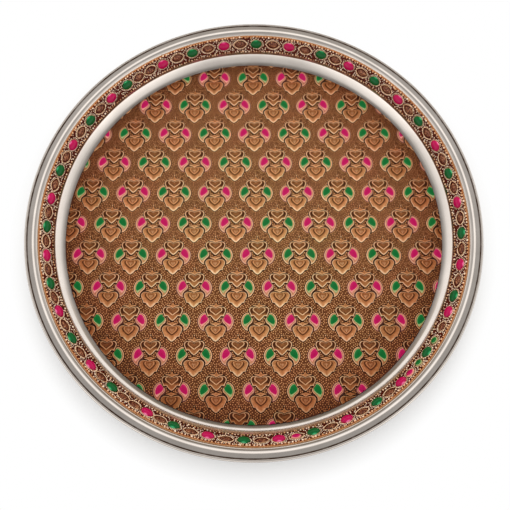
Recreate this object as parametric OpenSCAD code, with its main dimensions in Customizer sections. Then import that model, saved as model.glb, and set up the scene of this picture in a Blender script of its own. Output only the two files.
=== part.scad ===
// A thali: a round steel dining plate with an enamelled floor sheet and a jewelled border.
// The plate stands on z = 0 with its axis on the Z axis, and all lengths are millimetres.

/* [Dish] */
// Diameter over the rolled edge
plate_d = 300; // [240:1:360]
// Thickness of the steel sheet
steel_t = 1; // [0.8:0.1:1.2]
// Slope of the wall above the floor, in degrees
wall_a = 57.4; // [50:0.1:64]
// Length of the straight wall, measured up the slope
wall_l = 17.6; // [16:0.1:20]
// Inner radius of the cove between floor and wall
cove_r = 6; // [4:0.1:8]
// Outer radius of the round-over at the top of the wall
crown_r = 5.4; // [4:0.1:7]
// Width of the flat ring on top of the rim
top_w = 1.6; // [1:0.1:3]
// Outer radius of the rolled edge
roll_r = 2.4; // [2:0.1:2.8]
// How far round the edge is rolled, in degrees
roll_sweep = 215; // [150:1:240]

/* [Floor sheet] */
// Thickness of the struck sheet
sheet_t = 0.5; // [0.3:0.05:0.8]
// How far the sheet's edge turns up into the cove, in degrees
sheet_turn = 21; // [10:1:30]
// Height of the stamped hearts and leaf cups above the sheet
relief_h = 0.8; // [0.5:0.05:1.2]
// Width of one motif, from leaf to leaf
motif_w = 23.6; // [18:0.1:25]
// Distance between motifs in one row
column_pitch = 28.53; // [27:0.01:34]
// Distance between rows, each of which is set off by half a motif
row_pitch = 22.5; // [22:0.01:28]
// Lean of the columns, in degrees
lattice_lean = 1.33; // [0:0.01:3]
// Place of the motif nearest the middle, to the right
lattice_x = 2.44; // [-10:0.01:10]
// Place of the motif nearest the middle, towards the far side
lattice_y = -16.68; // [-20:0.01:20]
// Height of the enamel in its cells
enamel_h = 0.65; // [0.4:0.05:1]

/* [Border] */
// Thickness of the border strip
strip_t = 0.5; // [0.3:0.05:0.8]
// Width of the strip, measured up the slope
strip_w = 12.8; // [11:0.1:14]
// Bare steel between the top of the cove and the strip, up the slope
strip_lift = 4.4; // [1:0.1:4.8]
// Number of drops round the border
drop_n = 40; // [30:2:42]
// Angle of the first drop, in degrees from the right
drop_start = 6.4; // [0:0.1:9]
// Length of a drop along the rim
drop_l = 7.8; // [5:0.1:8]
// Height of a drop, measured up the slope
drop_w = 6.3; // [4:0.1:6.8]
// Rise of a drop above its collar's foot
drop_h = 2.2; // [1.2:0.1:3]
// Rise of the enamel in a filled oval
fill_h = 1.4; // [1:0.1:2]
// Wall of the collar round a drop
collar_t = 0.4; // [0.2:0.05:0.6]
// Height of the collar
collar_h = 0.8; // [0.4:0.1:1.2]
// Length of a wire oval along the rim
oval_l = 8.6; // [6:0.1:8.8]
// Height of a wire oval, measured up the slope
oval_w = 6.2; // [4.4:0.1:6.8]
// Length of the shorter ovals where the strip was pieced
short_oval_l = 6.8; // [5:0.1:7]
// Thickness of the oval's wire
wire_t = 0.6; // [0.3:0.05:0.8]
// Length of the dull stone in an oval
stone_l = 3; // [2:0.1:3.4]
// Rise of the dull stone
stone_h = 0.7; // [0.4:0.1:1]
// Diameter of one grain of the bead rows
grain_d = 1.1; // [0.7:0.05:1.2]
// Number of grains in the upper row
outer_grain_n = 400; // [200:1:480]
// Number of grains in the lower row
inner_grain_n = 380; // [200:1:460]

/* [Fits] */
// Bond line between two pieces that lie on each other
bond = 0.03; // [0.02:0.01:0.05]
// Clearance between enamel or a stone and the metal round it
cell_gap = 0.05; // [0.03:0.01:0.1]

/* [Hidden] */
$fn = 96;

// The dish's section: r runs outwards and z upwards, and its points lie on the upper surface.
roll_c_r = plate_d / 2 - roll_r;
crown_c_r = roll_c_r - top_w;
wall_top_r = crown_c_r - crown_r * sin(wall_a);
wall_foot_r = wall_top_r - wall_l * cos(wall_a);
floor_r = wall_foot_r - cove_r * sin(wall_a);
wall_foot_z = steel_t + cove_r * (1 - cos(wall_a));
wall_top_z = wall_foot_z + wall_l * sin(wall_a);
rim_z = wall_top_z + crown_r * (1 - cos(wall_a));

// A point of the wall, given how far up the slope it is and how far off the steel it stands.
function wall_point(up, off) = [
    wall_foot_r + up * cos(wall_a) - off * sin(wall_a),
    wall_foot_z + up * sin(wall_a) + off * cos(wall_a)
];

// Gap that a flat foot of this half length needs to clear the hollow wall at its two ends.
function hollow(half_l, at_r) = half_l * half_l * sin(wall_a) / (2 * at_r);

// The floor sheet lies on the steel floor and its rim follows the cove.
sheet_z = steel_t + bond;
sheet_top = sheet_z + sheet_t;
cove_z = steel_t + cove_r;
// The relief stops where the sheet starts to turn up.
relief_r = floor_r;

// Outlines of one motif, as shares of its width, measured from between its two leaves. An
// outline's right half is listed from the top down, and its left half is the mirror image.
lobe_r_share = 0.11;
crown_lobe_share = [0.148, 0.25];
crown_shares = [[0, 0.27], each lobe(crown_lobe_share), [0.212, 0.106], [0.123, 0.08], [0, -0.047]];
root_lobe_share = [0.174, -0.28];
root_shares = [[0, -0.235], each lobe(root_lobe_share), [0.225, -0.475], [0.144, -0.504], [0, -0.627]];
finial_shares = [[0, 0.5], [0.06, 0.43], [0.186, 0.396], [0.093, 0.375], [0, 0.325]];
foot_wing_shares = [[0, -0.076], [0.18, -0.135], [0, -0.212]];
// The round shoulder of a heart, as four points of an arc.
function lobe(c) = [for (a = [140:-45:5]) c + lobe_r_share * [cos(a), sin(a)]];
// A leaf cup and its cell are two arcs on one chord: middle, lean in degrees, length and bulges.
leaf_share = [0.309, -0.076];
leaf_lean = 6.7;
leaf_chord_share = 0.51;
leaf_out_share = 0.19;
leaf_in_share = 0.12;
cell_share = [0.322, -0.03];
cell_lean = 22;
cell_chord_share = 0.31;
cell_out_share = 0.088;
cell_in_share = 0.078;
// Half of the motif's longest reach, as a share of its width.
reach_share = 0.65;

// Rows and columns that are needed to cover the floor.
row_n = ceil((relief_r + reach_share * motif_w) / row_pitch) + 1;
column_n = ceil((relief_r + reach_share * motif_w) / column_pitch) + 1;

function odd(n) = abs(n) % 2 == 1;
function motif_x(row, column) = lattice_x + (column + (odd(row) ? 1 / 2 : 0)) * column_pitch
    - row * row_pitch * tan(lattice_lean);
function motif_y(row) = lattice_y + row * row_pitch;
function is_green(row, column) = odd(column + (odd(row) ? (row + 1) / 2 : row / 2));
// Every motif whose outline can reach the floor, as row, column and place.
motifs = [
    for (row = [-row_n:row_n], column = [-column_n:column_n])
    let (at = [motif_x(row, column), motif_y(row)])
    if (norm(at) < relief_r + reach_share * motif_w)
    [row, column, at]
];

// The drops' angles. The strip's repeat is stretched along one part of the rim, and where the
// strip was pieced some drops stand off their places by the angles listed.
stretch_deg = 4.8;
stretch_from = 70;
stretch_to = 212;
pieced_drops = [[13, 3], [25, -0.8], [26, 1.3], [34, -0.8], [35, 0.7], [36, 4.2]];
drop_pitch = 360 / drop_n;
function even_angle(i) = drop_start + i * drop_pitch;
function stretch(a) = a > stretch_from && a < stretch_to
    ? stretch_deg * sin(180 * (a - stretch_from) / (stretch_to - stretch_from)) : 0;
function pieced(i) = let (hit = search(i, pieced_drops)) len(hit) > 0 ? pieced_drops[hit[0]][1] : 0;
function drop_angle(i) = even_angle(i) + stretch(even_angle(i)) + pieced(i);
function gap_after(i) = (i == drop_n - 1 ? drop_angle(0) + 360 : drop_angle(i + 1)) - drop_angle(i);

// What an oval holds.
dull = 0;
pink = 1;
green = 2;
// A gap between two drops holds no oval, one, or two, as far as they fit.
mid_r = wall_point(strip_lift + strip_w / 2, 0)[0];
one_oval_deg = atan((drop_l + 2 * collar_t + 4 * cell_gap + oval_l) / mid_r);
two_oval_deg = one_oval_deg + atan(oval_l / mid_r);
function ovals_in(gap) = gap < one_oval_deg ? 0 : gap < two_oval_deg ? 1 : 2;
// Where the strip was pieced the ovals are shorter: drop before, share of the gap, what it holds.
pieced_oval_shares = [[34, 0.32, pink], [34, 0.66, green], [35, 0.3, green], [35, 0.65, dull]];
// Ovals of the plain repeat that hold pink enamel, by the drop before.
pink_filled = [30];
function has(list, i) = len(search(i, list)) > 0;
function plain_ovals(i, gap) = let (count = ovals_in(gap)) [
    for (k = [1:1:count])
    [drop_angle(i) + gap * k / (count + 1), oval_l, has(pink_filled, i) ? pink : dull]
];
function pieced_ovals(i, gap) = [
    for (o = pieced_oval_shares)
    if (o[0] == i)
    [drop_angle(i) + gap * o[1], short_oval_l, o[2]]
];
// Each oval, as angle, length and what it holds.
ovals = [
    for (i = [0:drop_n - 1])
    each has(pieced_oval_shares, i) ? pieced_ovals(i, gap_after(i)) : plain_ovals(i, gap_after(i))
];

// Length that a plump oval would have with its points on, as a share of its own.
plump_point_share = 1.14;
// Places up the slope, as shares of the strip's width.
drop_up_share = 0.5;
// Height of a dull stone, as a share of its length.
stone_w_share = 0.8;
outer_grain_share = 0.93;
inner_grain_share = 0.07;

// A piece of a ring in the plane, between two angles that are less than a full turn apart.
module ring_piece(inner_r, outer_r, from, to) {
    fan_r = outer_r * 2;
    steps = ceil((to - from) / 30);
    intersection() {
        difference() {
            circle(r = outer_r);
            circle(r = inner_r);
        }
        polygon([
            [0, 0],
            for (i = [0:steps]) let (a = from + (to - from) * i / steps) [fan_r * cos(a), fan_r * sin(a)]
        ]);
    }
}

// The right half of an outline and its mirror image, as one polygon scaled to the motif.
module mirrored_outline(right_shares) {
    last = len(right_shares) - 1;
    polygon([
        for (p = right_shares) p * motif_w,
        for (i = [last - 1:-1:1]) [-right_shares[i][0], right_shares[i][1]] * motif_w
    ]);
}

module both_sides() {
    children();
    mirror([1, 0]) children();
}

// Two arcs on one upright chord, which bulge to its right and to its left.
module two_arcs(chord, right, left) {
    right_r = (chord * chord / 4 + right * right) / (2 * right);
    left_r = (chord * chord / 4 + left * left) / (2 * left);
    intersection() {
        translate([right - right_r, 0]) circle(r = right_r);
        translate([left_r - left, 0]) circle(r = left_r);
    }
}

module leaf_outline() {
    translate(leaf_share * motif_w) rotate(leaf_lean)
        two_arcs(leaf_chord_share * motif_w, leaf_out_share * motif_w, leaf_in_share * motif_w);
}

// The cell in a leaf cup, drawn smaller all round by a clearance.
module cell_outline(clearance) {
    translate(cell_share * motif_w) rotate(cell_lean) two_arcs(
        cell_chord_share * motif_w - 4 * clearance,
        cell_out_share * motif_w - clearance,
        cell_in_share * motif_w - clearance
    );
}

// Sets a flat outline at one motif's place and cuts it where the ground sheet was cut.
module on_floor(at) {
    if (norm(at) + reach_share * motif_w < relief_r)
        translate(at) children();
    else
        intersection() {
            translate(at) children();
            circle(r = relief_r);
        }
}

module raised(height) {
    translate([0, 0, sheet_top + bond]) linear_extrude(height) children();
}

module leaf_enamel(green) {
    raised(enamel_h) for (m = motifs)
        if (is_green(m[0], m[1]) == green)
            on_floor(m[2]) both_sides() cell_outline(cell_gap);
}

// Sets a piece on the strip at an angle, with its own z square to the wall and its x up the slope.
module on_strip(angle, up_share, half_l) {
    foot = wall_point(strip_lift + up_share * strip_w, bond + strip_t + bond);
    lift = hollow(half_l, foot[0]);
    rotate([0, 0, angle]) translate([foot[0], 0, foot[1]]) rotate([0, -wall_a, 0])
        translate([0, 0, lift]) children();
}

// A pointed oval, long along y: where two equal circles overlap.
module pointed_oval(length, width) {
    circle_r = (length * length + width * width) / (4 * width);
    off = circle_r - width / 2;
    intersection() {
        translate([off, 0]) circle(r = circle_r);
        translate([-off, 0]) circle(r = circle_r);
    }
}

// A plump oval: a longer pointed one with its ends rounded off.
module plump_oval(length, width) {
    intersection() {
        pointed_oval(length * plump_point_share, width);
        circle(r = length / 2);
    }
}

// A domed stone: a ball's cap cut to an outline.
module cabochon(length, height) {
    ball_r = (length * length / 4 + height * height) / (2 * height);
    intersection() {
        linear_extrude(height + ball_r) children();
        translate([0, 0, height - ball_r]) sphere(r = ball_r);
    }
}

module drops(green) {
    for (i = [0:drop_n - 1])
        if (odd(i) == green)
            on_strip(drop_angle(i), drop_up_share, drop_l / 2)
                cabochon(drop_l, drop_h) plump_oval(drop_l, drop_w);
}

// The enamel in the ovals that hold this kind of it.
module oval_fill(kind) {
    inset = 2 * wire_t + 2 * cell_gap;
    for (o = ovals)
        if (o[2] == kind)
            on_strip(o[0], drop_up_share, o[1] / 2)
                cabochon(o[1], fill_h) pointed_oval(o[1] - inset, oval_w - inset);
}

module bead_row(up_share, count) {
    for (i = [0:count - 1])
        on_strip(360 * i / count, up_share, grain_d / 2)
            translate([0, 0, grain_d / 2]) sphere(d = grain_d, $fn = 24);
}

module steel_dish() {
    color("lightgray") rotate_extrude() {
        square([floor_r, steel_t]);
        translate([floor_r, cove_z]) ring_piece(cove_r, cove_r + steel_t, 270, 270 + wall_a);
        polygon([
            wall_point(0, 0), wall_point(0, -steel_t), wall_point(wall_l, -steel_t), wall_point(wall_l, 0)
        ]);
        translate([crown_c_r, rim_z - crown_r]) ring_piece(crown_r - steel_t, crown_r, 90, 90 + wall_a);
        translate([crown_c_r, rim_z - steel_t]) square([top_w, steel_t]);
        translate([roll_c_r, rim_z - roll_r]) ring_piece(roll_r - steel_t, roll_r, 90 - roll_sweep, 90);
    }
}

module floor_sheet() {
    color("peru") rotate_extrude() {
        translate([0, sheet_z]) square([floor_r, sheet_t]);
        translate([floor_r, cove_z])
            ring_piece(cove_r - bond - sheet_t, cove_r - bond, 270, 270 + sheet_turn);
    }
}

module crown_hearts() {
    color("goldenrod") raised(relief_h) for (m = motifs) on_floor(m[2]) mirrored_outline(crown_shares);
}

module root_hearts() {
    color("goldenrod") raised(relief_h) for (m = motifs) on_floor(m[2]) mirrored_outline(root_shares);
}

module heart_wings() {
    color("gold") raised(relief_h) for (m = motifs) on_floor(m[2]) {
        mirrored_outline(finial_shares);
        mirrored_outline(foot_wing_shares);
    }
}

module leaf_cups() {
    color("goldenrod") raised(relief_h) for (m = motifs) on_floor(m[2]) both_sides() difference() {
        leaf_outline();
        cell_outline(0);
    }
}

module leaf_enamel_pink() {
    color("deeppink") leaf_enamel(false);
}

module leaf_enamel_green() {
    color("seagreen") leaf_enamel(true);
}

module border_strip() {
    color("saddlebrown") rotate_extrude() polygon([
        wall_point(strip_lift, bond), wall_point(strip_lift + strip_w, bond),
        wall_point(strip_lift + strip_w, bond + strip_t), wall_point(strip_lift, bond + strip_t)
    ]);
}

module outer_bead_row() {
    color("gold") bead_row(outer_grain_share, outer_grain_n);
}

module inner_bead_row() {
    color("gold") bead_row(inner_grain_share, inner_grain_n);
}

module wire_ovals() {
    color("gold") for (o = ovals)
        on_strip(o[0], drop_up_share, o[1] / 2) linear_extrude(wire_t) difference() {
            pointed_oval(o[1], oval_w);
            pointed_oval(o[1] - 2 * wire_t, oval_w - 2 * wire_t);
        }
}

module oval_stones() {
    color("brown") for (o = ovals)
        if (o[2] == dull)
            on_strip(o[0], drop_up_share, stone_l / 2) cabochon(stone_l, stone_h)
                plump_oval(stone_l, stone_l * stone_w_share);
}

module oval_fills_pink() {
    color("hotpink") oval_fill(pink);
}

module oval_fills_green() {
    color("green") oval_fill(green);
}

module drop_collars() {
    color("gold") for (i = [0:drop_n - 1])
        on_strip(drop_angle(i), drop_up_share, drop_l / 2 + collar_t) linear_extrude(collar_h) difference() {
            plump_oval(drop_l + 2 * collar_t + 2 * cell_gap, drop_w + 2 * collar_t + 2 * cell_gap);
            plump_oval(drop_l + 2 * cell_gap, drop_w + 2 * cell_gap);
        }
}

module pink_drops() {
    color("mediumvioletred") drops(false);
}

module green_drops() {
    color("darkgreen") drops(true);
}

steel_dish();
floor_sheet();
crown_hearts();
root_hearts();
heart_wings();
leaf_cups();
leaf_enamel_pink();
leaf_enamel_green();
border_strip();
outer_bead_row();
inner_bead_row();
wire_ovals();
oval_stones();
oval_fills_pink();
oval_fills_green();
drop_collars();
pink_drops();
green_drops();
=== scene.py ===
# %% [markdown]
# # A thali plate
# A thali is the round steel dish that an Indian meal is served on. This one has a struck, enamelled
# sheet on its floor and a jewelled strip round its wall. The lesson builds it in this order: the
# shared frame, the studio, the materials, the spun steel, the struck floor with its motifs, and the
# border with its drops. All lengths are typed in millimetres. The helper that makes a mesh turns
# them to metres.

import math

import bpy
import numpy as np
from mathutils import Matrix


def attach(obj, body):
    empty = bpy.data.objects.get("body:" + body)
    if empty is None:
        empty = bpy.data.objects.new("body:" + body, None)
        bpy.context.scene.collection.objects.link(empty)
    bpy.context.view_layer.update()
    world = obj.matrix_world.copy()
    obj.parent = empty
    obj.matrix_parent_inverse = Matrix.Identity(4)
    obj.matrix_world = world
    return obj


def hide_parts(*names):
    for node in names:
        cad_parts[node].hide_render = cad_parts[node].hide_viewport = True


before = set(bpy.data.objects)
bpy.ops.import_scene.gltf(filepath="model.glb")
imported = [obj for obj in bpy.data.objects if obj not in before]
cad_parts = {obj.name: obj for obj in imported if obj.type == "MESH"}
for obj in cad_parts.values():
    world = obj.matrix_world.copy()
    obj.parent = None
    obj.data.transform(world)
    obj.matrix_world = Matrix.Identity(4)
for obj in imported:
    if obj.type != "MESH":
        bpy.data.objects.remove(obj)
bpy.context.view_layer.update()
scene = bpy.context.scene
MM = 0.001
rng = np.random.default_rng(7)
print("frame:", len(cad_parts), "CAD nodes")

# %% [markdown]
# ## The plate's sizes
# The section of the dish is a chain of straight lines and arcs that run into each other smoothly.
# The values are those of the CAD model, but for four that follow the photo more closely: the strip
# is a little narrower and sits higher on the wall, the sheet reaches a little further, and the cove
# and the rim's crown have arcs of their own, which stand with the steel dish below.

# %% Sizes
PLATE_R = 150.0
STEEL_T = 1.0
WALL_A = math.radians(57.4)
WALL_L = 17.6
COVE_R = 6.0
CROWN_R = 5.4
TOP_W = 1.6
ROLL_R = 2.4
ROLL_SWEEP = 215
ROLL_C_R = PLATE_R - ROLL_R
CROWN_C_R = ROLL_C_R - TOP_W
WALL_TOP_R = CROWN_C_R - CROWN_R * math.sin(WALL_A)
WALL_FOOT_R = WALL_TOP_R - WALL_L * math.cos(WALL_A)
FLOOR_R = WALL_FOOT_R - COVE_R * math.sin(WALL_A)
WALL_FOOT_Z = STEEL_T + COVE_R * (1 - math.cos(WALL_A))
RIM_Z = WALL_FOOT_Z + WALL_L * math.sin(WALL_A) + CROWN_R * (1 - math.cos(WALL_A))
BOND = 0.03
SHEET_TOP = 1.53
SHEET_T = 0.5
SHEET_R = 128.6
CUT_R = 128.35
NO_CUT_R = 1e4
STRIP_T = 0.5
STRIP_W = 12.0
STRIP_LIFT = 5.7


def wall_point(up, off):
    """A point (r, z) of the wall, this far up its slope and this far off the steel."""
    return (WALL_FOOT_R + up * math.cos(WALL_A) - off * math.sin(WALL_A),
            WALL_FOOT_Z + up * math.sin(WALL_A) + off * math.cos(WALL_A))


print(f"floor radius {FLOOR_R:.2f} mm, rim height {RIM_Z:.2f} mm")

# %% [markdown]
# ## Mesh helpers
# Arrays of points and faces become an object in one place. Each mesh can carry named numbers on
# its points, such as how worn a ridge is, and the materials read them back by name.

# %% Mesh helpers
def make_object(name, points_mm, faces, numbers=None, sharp=None):
    """A smooth-shaded mesh object from points in millimetres, with named numbers on its points."""
    mesh = bpy.data.meshes.new(name)
    mesh.from_pydata(np.asarray(points_mm, float) * MM, [], [tuple(map(int, f)) for f in faces])
    for key, values in (numbers or {}).items():
        layer = mesh.attributes.new(key, "FLOAT", "POINT")
        layer.data.foreach_set("value", np.asarray(values, np.float32))
    mesh.shade_smooth()
    if sharp is not None:
        mesh.set_sharp_from_angle(angle=math.radians(sharp))
    mesh.validate()
    mesh.update()
    piece = bpy.data.objects.new(name, mesh)
    scene.collection.objects.link(piece)
    return piece


def grid_faces(rows, columns, closed_rows=False, closed_columns=False):
    """Quads between the points of a grid that was listed row by row."""
    r = np.arange(rows if closed_rows else rows - 1)[:, None]
    c = np.arange(columns if closed_columns else columns - 1)[None, :]
    r2, c2 = (r + 1) % rows, (c + 1) % columns
    quads = np.stack([r * columns + c, r * columns + c2, r2 * columns + c2, r2 * columns + c], -1)
    return quads.reshape(-1, 4)


def full_turn(count):
    """Evenly spaced angles once round, in radians."""
    return 2 * math.pi * np.arange(count) / count


def turned(r, angle, z=0.0):
    """Points at a radius, an angle in radians and a height. Each may be a number or an array."""
    return np.stack(np.broadcast_arrays(r * np.cos(angle), r * np.sin(angle), z), -1)


def arc(center, radius, start, end, steps):
    """Points of an arc between two angles in degrees."""
    angles = np.radians(np.linspace(start, end, steps + 1))
    return [(center[0] + radius * math.cos(t), center[1] + radius * math.sin(t)) for t in angles]


def line(start, end, steps):
    """Evenly spaced points between two points, without the first."""
    return [tuple(np.add(start, np.subtract(end, start) * i / steps)) for i in range(1, steps + 1)]


# %% [markdown]
# ## Material helpers
# Node trees are long when every socket is linked by hand. So one function adds a node with its
# settings and links, and a node can be given where its first output is wanted. Another function
# ends a material with its shader and its fine relief. The inputs of a noise texture are, in order,
# the place, W, the scale (one over the size of its lumps), the detail and the roughness.

# %% Material helpers
def srgb(code):
    """Linear colour from six hex digits of a screen colour."""
    parts = [int(code[i:i + 2], 16) / 255 for i in (0, 2, 4)]
    return tuple(p / 12.92 if p <= 0.04045 else ((p + 0.055) / 1.055) ** 2.4 for p in parts) + (1.0,)


def add(tree, kind, inputs=(), stops=(), **settings):
    """Adds a node. Its kind may be followed by its operation. The inputs, in order or by name, are
    values to set, or nodes or sockets to link. A colour ramp's stops are places with hex colours or
    greys."""
    kind, *operation = kind.split()
    node = tree.nodes.new(kind if "Node" in kind else "ShaderNode" + kind)
    if operation:
        node.operation = operation[0]
    for key, value in settings.items():
        setattr(node, key, value)
    for key, value in inputs.items() if isinstance(inputs, dict) else enumerate(inputs):
        if isinstance(value, bpy.types.Node):
            value = value.outputs[0]
        if isinstance(value, bpy.types.NodeSocket):
            tree.links.new(value, node.inputs[key])
        else:
            node.inputs[key].default_value = value
    if stops:
        bar = node.color_ramp.elements
        bar[0].position, bar[1].position = stops[0][0], stops[-1][0]
        for place, _ in stops[1:-1]:
            bar.new(place)
        for element, (_, color) in zip(bar, stops):
            element.color = srgb(color) if isinstance(color, str) else (color, color, color, 1)
    return node


def from_axis(tree, x, y):
    """Distance from the axis of the place that has these two coordinates."""
    flat = add(tree, "CombineXYZ", (x, y))
    return add(tree, "VectorMath LENGTH", (flat,)).outputs["Value"]


def product(tree, *colors):
    """Colours or shades multiplied together."""
    result = colors[0]
    for color in colors[1:]:
        result = add(tree, "VectorMath MULTIPLY", (result, color))
    return result


def new_material(name):
    """An empty material, its node tree and the place on the object."""
    material = bpy.data.materials.new(name)
    material.use_nodes = True
    tree = material.node_tree
    tree.nodes.clear()
    return material, tree, add(tree, "TexCoord").outputs["Object"]


def surface(tree, relief, depth_mm, strength, inputs):
    """Ends a material: one shader with these inputs and a relief of a real depth."""
    bump = add(tree, "Bump", {"Strength": strength, "Distance": depth_mm * MM, "Height": relief})
    shader = add(tree, "BsdfPrincipled", {**inputs, "Normal": bump})
    return shader, add(tree, "OutputMaterial", (shader,))


# %% [markdown]
# ## Camera
# The photo was taken from in front and above. Where the plate's rings lie in it gives the camera's
# place, its tilt of 15.4 degrees from straight down, and a focal length of 42 mm on a 36 mm frame.

# %% Camera
camera_data = bpy.data.cameras.new("camera")
camera_data.lens = 42.353
camera_data.sensor_width = 36
camera = bpy.data.objects.new("camera", camera_data)
camera.location = (0.00077, -0.12607, 0.39374)
camera.rotation_euler = (math.radians(15.43), 0, 0)
scene.collection.objects.link(camera)
scene.camera = camera
scene.view_settings.view_transform = "Standard"

# %% [markdown]
# ## Studio
# Polished steel shows its surroundings, so the studio is drawn as a sky: a warm grey ceiling,
# brighter walls, a dim warm curtain high behind the plate, two soft fills beside the camera, and
# one soft lamp nearly overhead, which the rim mirrors as a bright line all round. Real lamps and
# cards would do the same with more noise. Camera rays see plain white.

# %% Studio sky
world = bpy.data.worlds.new("studio")
scene.world = world
world.use_nodes = True
sky = world.node_tree
sky.nodes.clear()
direction = add(sky, "TexCoord").outputs["Generated"]
east, north, height = add(sky, "SeparateXYZ", (direction,)).outputs
walls = add(sky, "ValToRGB", (height,), [(0.0, 0.70), (0.04, 0.97), (0.12, 1.0), (0.3, 0.88), (0.42, 0.76),
                                         (0.56, 0.56), (0.72, 0.50), (0.86, 0.42), (0.97, 0.34)])
from_lamp = from_axis(sky, east, add(sky, "Math SUBTRACT", (north, 0.29)))
lamp = add(sky, "ValToRGB", (from_lamp,), [(0.0, 0.72), (0.10, 0.72), (0.25, 0.0)])
south = add(sky, "Math MULTIPLY", (north, -1.0))
sideways = add(sky, "Math ABSOLUTE", (east,))
fill = product(sky, add(sky, "ValToRGB", (sideways,), [(0.3, 0.0), (0.55, 0.3)]),
               add(sky, "ValToRGB", (south,), [(0.1, 0.0), (0.4, 1.0)]))
far_north = add(sky, "ValToRGB", (north,), [(0.5, 0.0), (0.75, 1.0)])
halfway_up = add(sky, "ValToRGB", (height,), [(0.28, 0.0), (0.36, 1.0), (0.8, 1.0), (0.9, 0.0)])
curtain = add(sky, "Math MULTIPLY", (far_north, halfway_up))
open_wall = add(sky, "Math MULTIPLY_ADD", (curtain, -0.62, 1.0))
light = add(sky, "VectorMath ADD", (add(sky, "VectorMath ADD", (walls, lamp)), fill))
cloth = add(sky, "Mix", {0: curtain, 6: (1.0, 0.985, 0.965, 1), 7: (1.0, 0.88, 0.74, 1)}, data_type="RGBA")
studio_light = add(sky, "Background", (product(sky, light, open_wall, cloth.outputs[2]), 1.4))
plain_white = add(sky, "Background", ((1, 1, 1, 1), 1.0))
seen = add(sky, "LightPath").outputs["Is Camera Ray"]
add(sky, "OutputWorld", (add(sky, "MixShader", (seen, studio_light, plain_white)),))

# %% [markdown]
# ### The table
# The table is a large sheet of white card just under the plate. Away from the plate it is lit so
# evenly that it shows as plain white. In the steel its shade is painted: it is dimmer near the
# plate, which shades it, and dimmer towards the back.

# %% Table
card, tree, place = new_material("white_card")
_, north_of, _ = add(tree, "SeparateXYZ", (place,)).outputs
far = add(tree, "VectorMath LENGTH", (place,)).outputs["Value"]
half_metres = add(tree, "Math MULTIPLY", (far, 2.0))
# Painted shade, seen only in the steel: the card is darker near the plate and towards the back.
shaded = add(tree, "ValToRGB", (half_metres,), [(0.32, 0.40), (0.37, 0.75), (0.44, 1.0)])
painted_dark_behind = add(tree, "ValToRGB", (north_of,), [(0.13, 1.0), (0.2, 0.45)])
mottle = add(tree, "TexNoise", (place, 0.0, 1 / (40 * MM)))
white = add(tree, "ValToRGB", (mottle,), [(0.3, "F0F0F0"), (0.7, "F4F4F4")])
path = add(tree, "LightPath").outputs
dim = product(tree, white, shaded, painted_dark_behind)
tone = add(tree, "Mix", {0: path["Is Glossy Ray"], 6: white, 7: dim}, data_type="RGBA")
fibres = add(tree, "TexNoise", (place, 0.0, 1 / (0.8 * MM)))
shader, output = surface(tree, fibres, 0.02, 0.3, {"Base Color": tone.outputs[2], "Roughness": 0.7})
even = add(tree, "Emission", ((1, 1, 1, 1), 1.0))
clear = add(tree, "ValToRGB", (half_metres,), [(0.300, 0.3), (0.335, 1.0)])
clear = add(tree, "Math MULTIPLY", (clear, path["Is Camera Ray"]))
tree.links.new(add(tree, "MixShader", (clear, shader, even)).outputs[0], output.inputs[0])
TABLE = 2500
table = make_object("table", [(-TABLE, -TABLE, 0), (TABLE, -TABLE, 0), (TABLE, TABLE, 0), (-TABLE, TABLE, 0)],
                    [(0, 1, 2, 3)])
table.location.z = -0.1 * MM
table.data.materials.append(card)

# %% [markdown]
# ### The key light
# One soft area lamp, high behind the plate, gives the reliefs their shadows. It is kept out of
# reflections, since the sky already holds what the steel shows.

# %% Key light
key_data = bpy.data.lights.new("key_softbox", "AREA")
key_data.shape = "RECTANGLE"
key_data.size = 0.9
key_data.size_y = 0.5
key_data.energy = 11.0
key_data.color = (1.0, 0.985, 0.96)
key = bpy.data.objects.new("key_softbox", key_data)
key.location = (0.05, 1.0, 1.0)
key.rotation_euler = (math.radians(-45), 0, math.radians(-3))
key.visible_glossy = False
scene.collection.objects.link(key)

# %% [markdown]
# ## Materials
# Each material is named for what it is and how it was made. Pattern sizes are real millimetres.

# %% [markdown]
# ### Steel
# Spun stainless steel, polished on the wheel: a sharp reflection, broken a little by the fine
# lines that polishing leaves round the axis. Brown is painted over it in bands: painted shade with
# some polishing residue beside the floor sheet, a thin warm painted reflection of the strip along
# its edges, and a dark line along the groove of the rolled edge.

# %% Steel finish
steel, tree, place = new_material("spun_polished_stainless_steel")
x, y, z = add(tree, "SeparateXYZ", (place,)).outputs
radius = from_axis(tree, x, y)
turning = add(tree, "TexNoise", (add(tree, "CombineXYZ", (radius, z)), 0.0, 1500.0, 3.0))
cloud = add(tree, "TexNoise", (place, 0.0, 1 / (18 * MM), 3.0))
clean = add(tree, "ValToRGB", (cloud,), [(0.3, "CBC3BC"), (0.7, "D7CFC8")])
normal = add(tree, "SeparateXYZ", (add(tree, "NewGeometry").outputs["Normal"],))
faces_up = add(tree, "Math GREATER_THAN", (normal.outputs[2], 0.0))
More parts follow.
